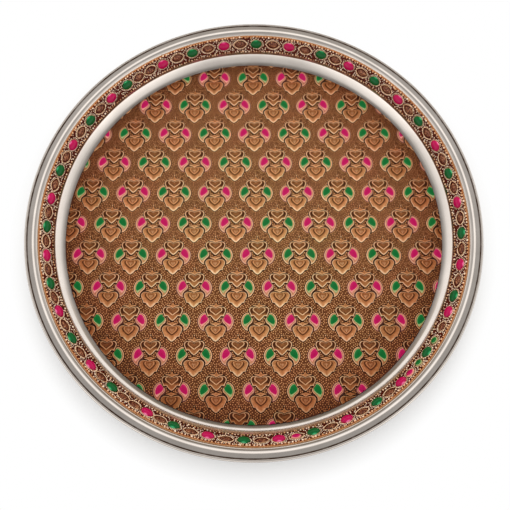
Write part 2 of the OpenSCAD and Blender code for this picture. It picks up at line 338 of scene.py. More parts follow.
# Bands painted on the steel: painted shade with some residue by the floor sheet, a warm painted reflection of
# the strip along its edges, and a dark line in the rim's groove.
TINT_FROM, TINT_SPAN = 120, 30
along = add(tree, "Math MULTIPLY_ADD", (radius, 1 / (TINT_SPAN * MM), -TINT_FROM / TINT_SPAN))
painted_shade_and_reflection = add(tree, "ValToRGB", (along,), [((r - TINT_FROM) / TINT_SPAN, amount) for r, amount in (
    (127.5, 0.8), (129.2, 0.5), (130.8, 0.0), (134.3, 0.0), (134.7, 0.4), (141.6, 0.3), (142.8, 0.0),
    (147.4, 0.0), (147.65, 1.0), (148.3, 1.0), (148.65, 0.0))])
painted_tint = add(tree, "Math MULTIPLY", (painted_shade_and_reflection, faces_up))
tint_noise = add(tree, "TexNoise", (place, 0.0, 1 / (6 * MM)))
streaks = add(tree, "ValToRGB", (tint_noise,), [(0.3, 0.75), (0.6, 1.0)])
streaky = add(tree, "Math MULTIPLY", (painted_tint, streaks))
tone = add(tree, "Mix", {0: streaky, 6: clean, 7: srgb("4A3628")}, data_type="RGBA")
dulled = add(tree, "Math MULTIPLY_ADD", (painted_tint, 0.25, 0.09))
rough = add(tree, "Math MULTIPLY_ADD", (cloud, 0.06, dulled))
surface(tree, turning, 0.004, 0.5, {"Base Color": tone.outputs[2], "Metallic": 1.0, "Roughness": rough})

# %% [markdown]
# ### Struck ground
# The gold-toned ground sheet: rows of fine raised dots that follow the motifs' outlines, brown
# with old patina between the dots, and nearly black along the outlines, where polishing never
# reaches. The mesh carries how far each point lies from the nearest outline, and the wear.

# %% Struck ground finish
def painted_edge_shade(tree, place):
    """Painted shade, with some patina, that browns the floor's gold near its edge, where the wall shades it
    and no cloth reaches.
    """
    x, y, z = add(tree, "SeparateXYZ", (place,)).outputs
    share = add(tree, "Math MULTIPLY", (from_axis(tree, x, y), 1 / 0.13))
    return add(tree, "ValToRGB", (share,), [(0.3, "FFFFFF"), (0.48, "FEFBFA"), (0.71, "FAEFEF"),
                                            (0.84, "EDDEDA"), (0.91, "E6CEC8"), (0.96, "D2BAAC"),
                                            (0.99, "C4A48C")])


ground, tree, place = new_material("struck_antiqued_ground")
away = add(tree, "Attribute", attribute_name="away").outputs["Fac"]
wear = add(tree, "Attribute", attribute_name="wear").outputs["Fac"]
patina = add(tree, "TexNoise", (place, 0.0, 1 / (8 * MM), 4.0, 0.6))
speckle = add(tree, "TexNoise", (place, 0.0, 1 / (0.7 * MM), 2.0, 0.6))
slow = add(tree, "TexNoise", (place, 0.0, 1 / (30 * MM)))
tone = add(tree, "Math MULTIPLY", (patina, 0.2))
for part, share in ((speckle, 0.25), (wear, 0.62)):
    tone = add(tree, "Math MULTIPLY_ADD", (part, share, tone))
gold = add(tree, "ValToRGB", (tone,), [(0.12, "4C2812"), (0.3, "80502C"), (0.6, "C88F5E"), (0.85, "FFD2A0")])
drift = add(tree, "ValToRGB", (slow,), [(0.3, "FFECDE"), (0.7, "F4F1DC")])
near = add(tree, "Math DIVIDE", (away, 1.2))
edge = add(tree, "ValToRGB", (near,), [(0.0, 0.40), (0.35, 0.55), (0.7, 1.0)])
# Near the floor's edge the ground carries the painted shade of the wall.
surface(tree, speckle, 0.06, 0.6, {"Base Color": product(tree, gold, drift, edge, painted_edge_shade(tree, place)),
                                   "Metallic": 0.5, "Roughness": 0.5, "Specular IOR Level": 0.3})

# %% [markdown]
# ### Stamped gold
# The raised hearts, wings and leaf rims: polished where they stand highest, dark in the grooves.
# The mesh carries a number called wear, 0 in a groove and 1 on a ridge. The rims round pink enamel
# took a blush from it in the kiln.

# %% Stamped gold finish
stamped, tree, place = new_material("stamped_burnished_gold")
wear = add(tree, "Attribute", attribute_name="wear").outputs["Fac"]
rub = add(tree, "TexNoise", (place, 0.0, 1 / (1.3 * MM), 3.0, 0.6))
slow = add(tree, "TexNoise", (place, 0.0, 1 / (16 * MM)))
pits = add(tree, "TexNoise", (place, 0.0, 1 / (0.5 * MM)))
centred = add(tree, "Math SUBTRACT", (rub, 0.5))
worn = add(tree, "Math MULTIPLY_ADD", (centred, 0.35, wear))
gold = add(tree, "ValToRGB", (worn,), [(0.0, "1E0C04"), (0.2, "5C3416"), (0.42, "A87246"), (0.65, "CE9462"),
                                       (0.85, "F8C698"), (1.0, "FFECCC")])
drift = add(tree, "ValToRGB", (slow,), [(0.3, "FFECDE"), (0.7, "F6F2DE")])
# Near the floor's edge the stamped gold carries the painted shade of the wall.
warm = product(tree, gold, drift, painted_edge_shade(tree, place))
blush = add(tree, "Math MULTIPLY", (add(tree, "Attribute", attribute_name="blush").outputs["Fac"], 0.25))
tone = add(tree, "Mix", {0: blush, 6: warm, 7: srgb("D87C80")}, data_type="RGBA")
rough = add(tree, "ValToRGB", (worn,), [(0.2, 0.52), (1.0, 0.32)])
surface(tree, pits, 0.05, 0.5, {"Base Color": tone.outputs[2], "Metallic": 0.75, "Roughness": rough})

# %% [markdown]
# ### Gold wire and grains
# Drawn wire and small cast grains of the same pale gold. The grains took more patina, in patches.

# %% Gold wire and grains finish
def pale_gold(name, rough, patch_mm, stops, pit_mm, depth_mm, strength):
    """Pale gold whose tone changes in patches of this size."""
    material, tree, place = new_material(name)
    patches = add(tree, "TexNoise", (place, 0.0, 1 / (patch_mm * MM), 2.0, 0.6))
    pits = add(tree, "TexNoise", (place, 0.0, 1 / (pit_mm * MM)))
    tone = add(tree, "ValToRGB", (patches,), stops)
    surface(tree, pits, depth_mm, strength, {"Base Color": tone, "Metallic": 0.35, "Roughness": rough})
    return material


gold_wire = pale_gold("drawn_gold_wire", 0.35, 1.2, [(0.25, "D89C6C"), (0.5, "FFD0A0"), (0.75, "FFE6C4")],
                      0.6, 0.05, 0.4)
gold_grain = pale_gold("cast_gold_grain", 0.36, 1.9, [(0.32, "6A3216"), (0.48, "E8AE78"), (0.62, "FFEBD2")],
                       0.5, 0.06, 0.5)

# %% [markdown]
# ### Border ground
# The dark strip between the jewels, oxidised red-brown, with small gold grains fused to it. The
# mesh carries a number called lump, which is 1 on the grains.

# %% Border ground finish
strip_dark, tree, place = new_material("oxidised_strip_with_grains")
lump = add(tree, "Attribute", attribute_name="lump").outputs["Fac"]
grit = add(tree, "TexNoise", (place, 0.0, 1 / (1.1 * MM), 2.0, 0.6))
tone = add(tree, "Math MULTIPLY", (grit, 0.25))
tone = add(tree, "Math MULTIPLY_ADD", (lump, 0.85, tone))
gold = add(tree, "ValToRGB", (tone,), [(0.1, "3A0D05"), (0.35, "702812"), (0.62, "C47A44"), (0.85, "FFCF9C"),
                                       (1.0, "FFEED6")])
surface(tree, grit, 0.12, 0.6, {"Base Color": gold, "Metallic": 0.4, "Roughness": 0.42,
                                "Specular IOR Level": 0.2})

# %% [markdown]
# ### Enamel and glass
# Fired enamel fills the leaves and a few ovals, and glass makes the drops. Both are light where
# they are thin and deep where they pool, which the mesh says in a number called pool. On the drops
# that number holds a painted highlight on their outer side instead.

# %% Enamel and glass finish
def enamel(name, deep, full, light, coat=0.12):
    """Enamel or glass in three tones under a thin glossy skin."""
    material, tree, place = new_material(name)
    swirl = add(tree, "TexNoise", (place, 0.0, 1 / (2.5 * MM), 3.0))
    centred = add(tree, "Math SUBTRACT", (swirl, 0.5))
    pool = add(tree, "Attribute", attribute_name="pool").outputs["Fac"]
    depth = add(tree, "Math MULTIPLY_ADD", (centred, 0.12, pool))
    tone = add(tree, "ValToRGB", (depth,), [(0.0, light), (0.1, light), (0.26, full), (0.9, deep)])
    ripple = add(tree, "TexNoise", (place, 0.0, 1 / (1.4 * MM)))
    surface(tree, ripple, 0.06, 0.4, {"Base Color": tone, "Roughness": 0.3, "Specular IOR Level": 0.12,
                                      "Coat Weight": coat, "Coat Roughness": 0.08})
    return material


pink_enamel = enamel("fired_pink_enamel", "A80048", "BC0A5C", "E29688")
green_enamel = enamel("fired_green_enamel", "005A22", "007030", "A4AA74")
pink_glass = enamel("pink_glass_drop", "AA0046", "C4085C", "F484B4", 0.25)
green_glass = enamel("green_glass_drop", "004C1E", "006E36", "4CB880", 0.25)

# %% [markdown]
# ### Stones
# The stones in the wire ovals are a dull, mottled ruby paste.

# %% Stones finish
dull_ruby, tree, place = new_material("dull_ruby_paste")
mottle = add(tree, "TexNoise", (place, 0.0, 1 / (1.1 * MM), 3.0, 0.65))
tone = add(tree, "ValToRGB", (mottle,), [(0.34, "2C0D07"), (0.5, "6E3420"), (0.68, "C48C60")])
surface(tree, mottle, 0.15, 0.6, {"Base Color": tone, "Metallic": 0.3, "Roughness": 0.42})
print("materials:", len(bpy.data.materials))

# %% [markdown]
# ## The steel dish
# One section, drawn once, is spun about the axis. It runs over the upper surface, round the rolled
# edge and back underneath, so the underside is as real as the top. A soft cove leads from the floor
# to the wall, and two arcs, a tight one and an easy one, lead from the wall to the rim.

# %% Steel dish
def spin(section, steps):
    """Points and faces of a section of (r, z) points turned round the axis."""
    r, z = np.array(section).T[:, :, None]
    return turned(r, full_turn(steps), z).reshape(-1, 3), grid_faces(len(section), steps, closed_columns=True)


AXIS_R = 0.01
COVE_START = 125.5
SOFT_R = 9.19
TIGHT_R = 3.1
EASY_R = 6.6
EASY_DEG = 18
BEAD_R = 1.22
wall_deg = math.degrees(WALL_A)
cove_c = (FLOOR_R, STEEL_T + COVE_R)
roll_c = (ROLL_C_R, RIM_Z - ROLL_R)
wall_top = wall_point(WALL_L + 0.5, 0)
tight_c = (wall_top[0] + TIGHT_R * math.sin(WALL_A), wall_top[1] - TIGHT_R * math.cos(WALL_A))
easy_c = (tight_c[0] + (EASY_R - TIGHT_R) * math.sin(math.radians(EASY_DEG)),
          tight_c[1] - (EASY_R - TIGHT_R) * math.cos(math.radians(EASY_DEG)))
flat_z = easy_c[1] + EASY_R
upper = [(AXIS_R, STEEL_T)] + line((AXIS_R, STEEL_T), (COVE_START, STEEL_T), 12)[:-1]
upper += arc((COVE_START, STEEL_T + SOFT_R), SOFT_R, 270, 312, 12)
upper += [(132.2, 3.88), (132.8, 4.48), (133.4, 5.12), (134.0, 5.79), (134.35, 6.23), (134.6, 6.62),
          (134.75, 7.1), (134.83, 7.75)]
upper += line(wall_point(5.4, 0), wall_top, 6)[:-1]
upper += arc(tight_c, TIGHT_R, 90 + wall_deg, 90 + EASY_DEG, 12)
upper += arc(easy_c, EASY_R, 90 + EASY_DEG, 90, 12)[1:]
upper += line((easy_c[0], flat_z), (147.7, flat_z), 4) + [(147.85, flat_z - 0.14)]
upper += arc((PLATE_R - BEAD_R, RIM_Z - BEAD_R), BEAD_R, 140, 0, 16)
upper += arc(roll_c, ROLL_R, 0, 90 - ROLL_SWEEP, 18)
lower = arc(roll_c, ROLL_R - STEEL_T, 90 - ROLL_SWEEP, 90, 20)
lower += line((ROLL_C_R, RIM_Z - STEEL_T), (CROWN_C_R, RIM_Z - STEEL_T), 3)[:-1]
lower += arc((CROWN_C_R, RIM_Z - CROWN_R), CROWN_R - STEEL_T, 90, 90 + wall_deg, 14)
lower += line(wall_point(WALL_L, -STEEL_T), wall_point(0, -STEEL_T), 6)[:-1]
lower += arc(cove_c, COVE_R + STEEL_T, 270 + wall_deg, 270, 14)
lower += line((FLOOR_R, 0), (AXIS_R, 0), 12)
dish = make_object("dish_steel", *spin(upper + lower, 512), sharp=35)
dish.data.materials.append(steel)
print("dish:", len(dish.data.polygons), "faces")

# %% [markdown]
# ## Outlines of one motif
# A motif is a crown heart with small wings over it, a root heart with wings over that, and a
# paisley leaf on each side. Each piece is a stack of levels, one inside the other. A level is an
# outline, its height over the sheet's foot, and its wear. Half of a heart is typed, from its notch
# to its tip, and mirrored. The lengths are millimetres from the point between the two leaves.

# %% Curves
def walk(path, count=None, step=None):
    """Evenly spaced points along a path: this many of them, or one at every step."""
    run = np.concatenate([[0], np.cumsum(np.linalg.norm(np.diff(path, axis=0), axis=1))])
    at = np.linspace(0, run[-1], count) if count else np.arange(0, run[-1], step)
    return np.stack([np.interp(at, run, path[:, 0]), np.interp(at, run, path[:, 1])], 1)


def smooth_path(points, count, corners=()):
    """A smooth open path through the points, sharp at the given corners, as evenly spaced points."""
    points = np.array(points, float)
    cuts = [0, *corners, len(points) - 1]
    dense = [points[:1]]
    for first, last in zip(cuts[:-1], cuts[1:]):
        part = points[first:last + 1]
        ghost = np.vstack([2 * part[0] - part[1], part, 2 * part[-1] - part[-2]])
        for k in range(1, len(part)):
            p0, p1, p2, p3 = ghost[k - 1:k + 3]
            t = np.linspace(0, 1, 13)[1:, None]
            dense.append(0.5 * (2 * p1 + (p2 - p0) * t + (2 * p0 - 5 * p1 + 4 * p2 - p3) * t ** 2
                                + (3 * p1 - p0 - 3 * p2 + p3) * t ** 3))
    return walk(np.vstack(dense), count)


def heart_ring(half, count, corners=()):
    """A closed clockwise outline from its right half, listed from the notch to the tip."""
    right = smooth_path(half, count, corners)
    return np.vstack([right, right[-2:0:-1] * (-1, 1)])


def grown(ring, by):
    """A clockwise outline pushed outwards, or an anticlockwise one pulled inwards."""
    ahead = np.roll(ring, -1, 0) - np.roll(ring, 1, 0)
    outward = np.stack([-ahead[:, 1], ahead[:, 0]], 1)
    return ring + by * outward / np.linalg.norm(ahead, axis=1)[:, None]


# %% Reliefs
BASE = SHEET_TOP - 0.02
GROOVE = 0.08


def loft(levels, middle=None):
    """Joins the levels' outlines into a relief. The middle is a level with a point for its outline."""
    count = len(levels[0][0])
    points = [np.column_stack([ring, np.broadcast_to(height, count)]) for ring, height, _ in levels]
    wear = [np.broadcast_to(value, count) for _, _, value in levels]
    faces = list(map(tuple, grid_faces(len(levels), count, closed_columns=True)))
    if middle:
        points.append([[*middle[0], middle[1]]])
        wear.append([middle[2]])
        last, top = (len(levels) - 1) * count, len(levels) * count
        faces += [(last + i, last + (i + 1) % count, top) for i in range(count)]
    return np.vstack(points), faces, np.concatenate(wear)


def struck(outline, height, wear, groove=0.45):
    """The first levels of a stamped piece: the groove that the die cut round it, and its side."""
    return [(grown(outline, groove), GROOVE, 0.03), (outline, GROOVE, 0.05), (outline, height, wear)]


def join(parts):
    """Several reliefs as one."""
    starts = np.cumsum([0] + [len(points) for points, _, _ in parts])
    faces = [tuple(i + start for i in face) for (_, f, _), start in zip(parts, starts) for face in f]
    return np.vstack([p for p, _, _ in parts]), faces, np.concatenate([w for _, _, w in parts])


def both_sides(part):
    """A relief and its mirror image."""
    points, faces, wear = part
    return join([part, (points * (-1, 1, 1), [face[::-1] for face in faces], wear)])


# %% [markdown]
# ### The crown heart
# The upper heart is open at the top, with a bright crest all round and a smaller heart struck
# inside it. The metal between the two is dark where the hollow is deep, near the notch.

# %% Crown heart
crown_outer = heart_ring([(0, 6.9), (1.5, 7.75), (3.4, 8.15), (5.2, 8.1), (6.35, 7.2), (6.65, 5.9),
    (6.35, 4.5), (5.7, 3.2), (5.5, 2.3), (5.4, 1.6), (4.4, 1.95), (3.4, 2), (2.6, 0.95), (1.4, -0.3),
    (0, -1.35)], 34, (9,))
crown_crest = heart_ring([(0, 6.75), (1.6, 7.5), (3.4, 7.85), (5, 7.8), (6, 6.95), (6.3, 5.8), (6, 4.6),
    (5.4, 3.3), (5.1, 2.45), (4.95, 2.05), (4.3, 2.25), (3.2, 2.35), (2.4, 1.3), (1.25, 0.1),
    (0, -0.85)], 34, (9,))
crown_lip = heart_ring([(0, 6.6), (1.7, 7.3), (3.4, 7.5), (4.8, 7.4), (5.6, 6.7), (5.85, 5.7), (5.55, 4.6),
    (5, 3.55), (4.6, 3), (4.3, 2.75), (3.8, 2.75), (3, 2.6), (2.2, 1.65), (1.15, 0.55), (0, -0.3)], 34)
inner_foot = heart_ring([(0, 6.2), (1.7, 7.35), (3.1, 7.7), (4.15, 7.3), (4.45, 6.3), (3.95, 5.1),
    (2.7, 4.05), (1.35, 3.1), (0, 2.1)], 34)
inner_crest = heart_ring([(0, 6.3), (1.6, 7.3), (2.8, 7.6), (3.65, 7.2), (3.95, 6.35), (3.5, 5.4), (2.4, 4.5),
    (1.2, 3.6), (0, 2.65)], 34)
inner_edge = heart_ring([(0, 6.35), (1.4, 7.1), (2.5, 7.3), (3.2, 6.95), (3.45, 6.3), (3.05, 5.6),
    (2.1, 4.85), (1.05, 4.05), (0, 3.2)], 34)
lip_dark = np.clip((crown_lip[:, 1] - 2.7) / 0.9, 0, 1)
foot_dark = np.clip((inner_foot[:, 1] - 3.0) / 0.9, 0, 1)
crown_part = loft(struck(crown_outer, 0.5, 0.98) + [
    (crown_crest, 0.9, 1.08), (crown_lip, 0.66 - 0.34 * lip_dark, 0.58 - 0.4 * lip_dark),
    (inner_foot, 0.62 - 0.32 * foot_dark, 0.46 - 0.33 * foot_dark), (inner_crest, 0.95, 1.15),
    (inner_edge, 0.5, 0.3)], ((0, 5.5), 0.56, 0.42))

# %% [markdown]
# ### The root heart
# The lower heart is long. Inside its bevelled edge lies a dark trench, and inside that a small
# heart with three thin raised veins.

# %% Root heart
root_outer = heart_ring([(0, -4.95), (1, -4.75), (2.2, -4.35), (3.4, -4.2), (4.8, -4.3), (5.9, -4.95),
    (6.55, -5.9), (6.65, -7), (6.2, -8.4), (5.5, -9.8), (5.05, -10.8), (5.4, -11.45), (4.4, -11.6),
    (3.4, -11.8), (2.5, -13.1), (1.2, -14.25), (0, -14.95)], 36, (11,))
root_bevel = heart_ring([(0, -5.2), (1.1, -5), (2.3, -4.7), (3.5, -4.55), (4.7, -4.65), (5.6, -5.25),
    (6.15, -6.1), (6.2, -7), (5.8, -8.3), (5.1, -9.6), (4.6, -10.5), (4.5, -11), (3.9, -11.2), (3, -11.5),
    (2.2, -12.6), (1.1, -13.75), (0, -14.4)], 36)
root_crest = heart_ring([(0, -5.4), (1.2, -5.25), (2.4, -5), (3.5, -4.9), (4.5, -5.05), (5.25, -5.6),
    (5.6, -6.4), (5.45, -7.3), (4.9, -8.4), (4.1, -9.4), (3.3, -10.2), (2.5, -10.9), (1.9, -11.5),
    (1.4, -12.1), (0.9, -12.7), (0.45, -13.2), (0, -13.6)], 36)
root_lip = heart_ring([(0, -5.5), (1.1, -5.4), (2.2, -5.2), (3.2, -5.15), (4, -5.45), (4.4, -6.1),
    (4.35, -6.9), (3.9, -7.8), (3.2, -8.7), (2.2, -9.6), (1.2, -10.4), (0, -11.2)], 36)
root_floor = heart_ring([(0, -5.5), (1, -5.35), (2, -5.15), (2.9, -5.15), (3.55, -5.5), (3.8, -6.1),
    (3.7, -6.8), (3.3, -7.6), (2.6, -8.5), (1.8, -9.2), (1, -9.8), (0, -10.4)], 36)
root_inner = heart_ring([(0, -5.55), (0.9, -5.25), (1.7, -5.05), (2.3, -5.15), (2.75, -5.5), (2.85, -6),
    (2.7, -6.6), (2.3, -7.3), (1.7, -8), (1.1, -8.6), (0.6, -9.05), (0, -9.45)], 36)
root_top = heart_ring([(0, -6), (0.7, -5.7), (1.4, -5.5), (1.9, -5.6), (2.25, -5.9), (2.3, -6.3), (2.1, -6.8),
    (1.7, -7.4), (1.25, -7.9), (0.8, -8.3), (0.4, -8.6), (0, -8.9)], 36)
# Painted highlights: the bevel is lighter towards the tip, and the crest is lighter down the sides than at
# its top.
painted_tip_highlight = np.clip((-root_bevel[:, 1] - 11.0) / 1.5, 0, 1)
painted_crest_highlight = np.clip((-root_crest[:, 1] - 5.5) / 1.5, 0, 1)
root_body = loft(struck(root_outer, 0.52, 0.95) + [
    (0.45 * root_outer + 0.55 * root_bevel, 0.8, 1.08), (root_bevel, 0.76, 0.66 + 0.34 * painted_tip_highlight),
    (root_crest, 0.84, 0.56 + 0.16 * painted_crest_highlight), (root_lip, 0.66, 0.56), (root_floor, 0.32, 0.06),
    (root_inner, 0.52, 0.86), (root_top, 0.56, 0.42)], ((0, -7.0), 0.55, 0.44))


def vein(x, top, foot, width):
    """A thin raised line down the inner heart."""
    ring = np.array([(x, top), (x + width, top - 0.3), (x + width, foot + 0.4), (x, foot),
                     (x - width, foot + 0.4), (x - width, top - 0.3)])
    return loft([(ring, 0.5, 0.4), (ring, 0.66, 0.85)], ((x, (top + foot) / 2), 0.72, 0.95))


root_part = join([root_body, vein(0, -6.1, -8.8, 0.16)] + [vein(x, -6.0, -7.9, 0.12) for x in (0.85, -0.85)])

# %% [markdown]
# ### The wings
# A small finial with a bead on its tip stands over the crown heart, and a foot with two wings lies
# between the hearts. Both have a painted highlight along their lower edge and are a little hollow in their
# middle.

# %% Wings
finial_rings = [heart_ring(half, 18, (6,)) for half in (
    [(0, 11.4), (0.42, 10.7), (0.65, 10), (1.2, 9.5), (2.4, 9.35), (3.6, 9.35), (4.6, 9.1), (3.6, 8.6),
     (2.4, 8.4), (1.2, 7.95), (0, 7.2)],
    [(0, 11), (0.26, 10.5), (0.42, 9.9), (0.95, 9.3), (2.2, 9.15), (3.2, 9.15), (4, 9.05), (3.2, 8.8),
     (2.2, 8.6), (1.1, 8.2), (0, 7.6)],
    [(0, 10.5), (0.12, 10.1), (0.22, 9.6), (0.7, 9.1), (1.6, 8.98), (2.4, 9), (3, 9), (2.3, 8.88),
     (1.5, 8.75), (0.7, 8.45), (0, 8.1)])]
foot_rings = [heart_ring(half, 16, (3,)) for half in (
    [(0, -1.95), (1.45, -2.4), (2.7, -2.75), (4.1, -3.1), (3, -3.5), (1.9, -3.85), (0.9, -4.35), (0, -5)],
    [(0, -2.45), (1.3, -2.75), (2.4, -2.98), (3.4, -3.12), (2.6, -3.3), (1.6, -3.5), (0.8, -3.9), (0, -4.5)],
    [(0, -2.9), (0.9, -3), (1.6, -3.08), (2.4, -3.14), (1.7, -3.22), (1.1, -3.3), (0.5, -3.5), (0, -3.9)])]
TIP = (0, 11.8)
TIP_R = 0.5


def circle(radius, sides):
    """A flat anticlockwise circle."""
    return turned(radius, full_turn(sides))[:, :2]


def wing(outer, ridge, hollow):
    """A relief through three outlines."""
    middle = hollow.mean(0)
    # A painted highlight: the ridge is lighter along the wing's lower edge.
    shine = np.where(ridge[:, 1] < middle[1] + 0.15, 1.0, 0.8)
    levels = struck(outer, 0.5, 0.6, 0.4) + [(ridge, 0.92, shine), (hollow, 0.84, 0.6)]
    return loft(levels, (middle, 0.8, 0.55))


tip_bead = loft([(TIP + circle(TIP_R * share, 8)[::-1], height, wear) for share, height, wear in (
    (1.0, 0.0, 0.2), (0.95, 0.45, 0.8), (0.6, 0.8, 1.0))], (TIP, 0.9, 1.0))
wing_part = join([wing(*finial_rings), wing(*foot_rings), tip_bead])

# %% [markdown]
# ### The leaves
# A leaf is a rimmed cell, fired full of enamel. The enamel lies lower than the rim, light where it
# creeps up the side and deep in a pool that leans to one side of the cell.

# %% Leaves
leaf_points = [(7.3, -7.75), (7.6, -6.3), (7.15, -4.9), (6.05, -3.55), (4.8, -2.5), (4.15, -1), (4.35, 0.4),
    (5.25, 1.3), (5.8, 2.1), (6.3, 3.4), (7.25, 4.35), (8.9, 3.85), (10.4, 2.6), (11.5, 0.4), (11.85, -1.5),
    (11.4, -3.7), (10.2, -5.85), (8.7, -7.3), (7.3, -7.75)]
cell_points = [(8.9, -5.2), (8.3, -4.4), (7.1, -3.2), (6, -2.1), (5.1, -1), (5.05, 0.2), (5.5, 1.3),
    (6.2, 2.5), (7.1, 3.35), (8.4, 3), (9.6, 1.9), (10.45, 0.2), (10.75, -1.5), (10.4, -3.2), (9.8, -4.5),
    (8.9, -5.2)]
pool_points = [(9.4, -3.5), (7.9, -2.8), (6.5, -1.8), (5.5, -0.6), (5.3, 0.5), (5.75, 1.6), (6.55, 2.65),
    (7.4, 2.95), (8.6, 2.35), (9.5, 1.2), (10.1, -0.3), (10.3, -1.8), (10, -2.9), (9.4, -3.5)]


def leaf_ring(points, shrink=0.0):
    """A closed outline from its tip round and back, pulled in by this many millimetres."""
    return grown(smooth_path(points, 45)[:-1], -shrink)


leaf_outline, cell_ring, pool_ring = leaf_ring(leaf_points), leaf_ring(cell_points), leaf_ring(pool_points)
leaf_edge, cell_lip = leaf_ring(leaf_points, 0.3), leaf_ring(cell_points, -0.12)
pool_middle = pool_ring.mean(0)
cup_part = both_sides(loft(struck(leaf_outline, 0.48, 0.9) + [
    (leaf_edge, 0.8, 1.06), (0.4 * leaf_edge + 0.6 * cell_lip, 0.74, 0.64), (cell_lip, 0.7, 0.85),
    (cell_ring, 0.1, 0.2)]))
cell_part = both_sides(loft([
    (leaf_ring(cell_points, 0.02), 0.54, 0.0), (leaf_ring(pool_points, -0.1), 0.62, 0.12),
    (leaf_ring(pool_points, 0.1), 0.65, 0.32), (0.6 * pool_ring + 0.4 * pool_middle, 0.72, 0.6)],
    (pool_middle, 0.74, 0.8)))
print("one motif:", sum(len(p[1]) for p in (crown_part, root_part, wing_part, cup_part, cell_part)), "faces")

# %% [markdown]
# ## Repeating a piece
# One Geometry Nodes tree sets a piece on every point of a mesh, turned and scaled as the point
# says. The floor's motifs were cut by a circle with the sheet they are on, so the tree can also
# drop the faces beyond a radius and pull the last row back to it.

# %% Repeat tree
REPEAT = bpy.data.node_groups.new("piece_on_points", "GeometryNodeTree")
takes = {"Points": "Geometry", "Piece": "Object", "Cut radius": "Float", "Finish": "Material"}
for name, kind in takes.items():
    REPEAT.interface.new_socket(name, in_out="INPUT", socket_type="NodeSocket" + kind)
REPEAT.interface.new_socket("Result", in_out="OUTPUT", socket_type="NodeSocketGeometry")
SOCKETS = {item.name: item.identifier for item in REPEAT.interface.items_tree if item.in_out == "INPUT"}
given = add(REPEAT, "NodeGroupInput").outputs
piece = add(REPEAT, "GeometryNodeObjectInfo", (given["Piece"],)).outputs["Geometry"]
turn, grow = [add(REPEAT, "GeometryNodeInputNamedAttribute", (key,), data_type="FLOAT_VECTOR")
              for key in ("turn", "grow")]
euler = add(REPEAT, "FunctionNodeEulerToRotation", (turn,))
placed = add(REPEAT, "GeometryNodeInstanceOnPoints",
             {"Points": given["Points"], "Instance": piece, "Rotation": euler, "Scale": grow})
real = add(REPEAT, "GeometryNodeRealizeInstances", (placed,))
place = add(REPEAT, "GeometryNodeInputPosition")
x, y, z = add(REPEAT, "SeparateXYZ", (place,)).outputs
far = from_axis(REPEAT, x, y)
beyond = add(REPEAT, "FunctionNodeCompare GREATER_THAN", (far, given["Cut radius"]), data_type="FLOAT")
kept = add(REPEAT, "GeometryNodeDeleteGeometry", (real, beyond), domain="FACE")
share = add(REPEAT, "Math DIVIDE", (given["Cut radius"], far))
shrink = add(REPEAT, "CombineXYZ", (share, share, 1.0))
back = add(REPEAT, "VectorMath MULTIPLY", (place, shrink))
cut = add(REPEAT, "GeometryNodeSetPosition", {"Geometry": kept, "Selection": beyond, "Position": back})
finished = add(REPEAT, "GeometryNodeSetMaterial", {"Geometry": cut, "Material": given["Finish"]})
add(REPEAT, "NodeGroupOutput", (finished,))

# %% [markdown]
# A modifier with this tree sits on the places for a moment only. What it makes is copied to a plain
# mesh, and the modifier and the single part are taken away again.

# %% Repeat
def repeat(name, part, places_mm, finish, number="wear", turns=0.0, grows=1.0, cut=NO_CUT_R, **also):
    """Sets one part on every place and returns all of them as one plain mesh object."""
    points, faces, wear = part
    numbers = {number: wear, **{key: np.full(len(points), value) for key, value in also.items()}}
    master = make_object(name + "_one", points, faces, numbers)
    spots = make_object(name, places_mm, [])
    for key, values in (("turn", turns), ("grow", grows)):
        layer = spots.data.attributes.new(key, "FLOAT_VECTOR", "POINT")
        values = np.broadcast_to(values, np.shape(places_mm))
        layer.data.foreach_set("vector", values.astype(np.float32).ravel())
    modifier = spots.modifiers.new("repeat", "NODES")
    modifier.node_group = REPEAT
    modifier[SOCKETS["Piece"]] = master
    modifier[SOCKETS["Cut radius"]] = cut * MM
    modifier[SOCKETS["Finish"]] = finish
    mesh = bpy.data.meshes.new_from_object(spots.evaluated_get(bpy.context.evaluated_depsgraph_get()))
    spots.modifiers.clear()
    spots.data = mesh
    mesh.name = name
    mesh.shade_smooth()
    bpy.data.objects.remove(master)
    print(f"{name}: {len(places_mm)} places, {len(mesh.polygons)} faces")
    return spots


# %% [markdown]
# ## The motifs' places
# Rows and columns stand off by half a motif, and the columns lean a little. Pink and green take
# turns. The sheet was bonded half a millimetre off the dish's centre, with all that is on it.

# %% Motif places
COLUMN_PITCH = 28.53
ROW_PITCH = 22.5
LEAN = math.tan(math.radians(1.33))
OFF_CENTRE = -0.5
LATTICE = (2.44, -16.68 - OFF_CENTRE)


def motif_places(reach):
    """Places of the motifs whose centres lie within this many millimetres, and which are green."""
    places, greens = [], []
    for row in range(-8, 9):
        for column in range(-7, 8):
            x = LATTICE[0] + (column + row % 2 / 2) * COLUMN_PITCH - row * ROW_PITCH * LEAN
            y = LATTICE[1] + row * ROW_PITCH
            if math.hypot(x, y) < reach:
                places.append((x, y, BASE))
                greens.append((column + (row + 1) // 2) % 2 == 1)
    return np.array(places), np.array(greens)


spots, is_green = motif_places(FLOOR_R + 15.3)
pink_spots, green_spots = spots[~is_green], spots[is_green]
crown = repeat("hearts_crown", crown_part, spots, stamped, cut=CUT_R)
root = repeat("hearts_root", root_part, spots, stamped, cut=CUT_R)
wings = repeat("wings_stamped", wing_part, spots, stamped, cut=CUT_R)
cups_pink = repeat("leaves_stamped_pink", cup_part, pink_spots, stamped, cut=CUT_R, blush=1.0)
cups_green = repeat("leaves_stamped_green", cup_part, green_spots, stamped, cut=CUT_R)
leaf_pink = repeat("leaves_pink_enamel", cell_part, pink_spots, pink_enamel, "pool", cut=CUT_R)
leaf_green = repeat("leaves_green_enamel", cell_part, green_spots, green_enamel, "pool", cut=CUT_R)

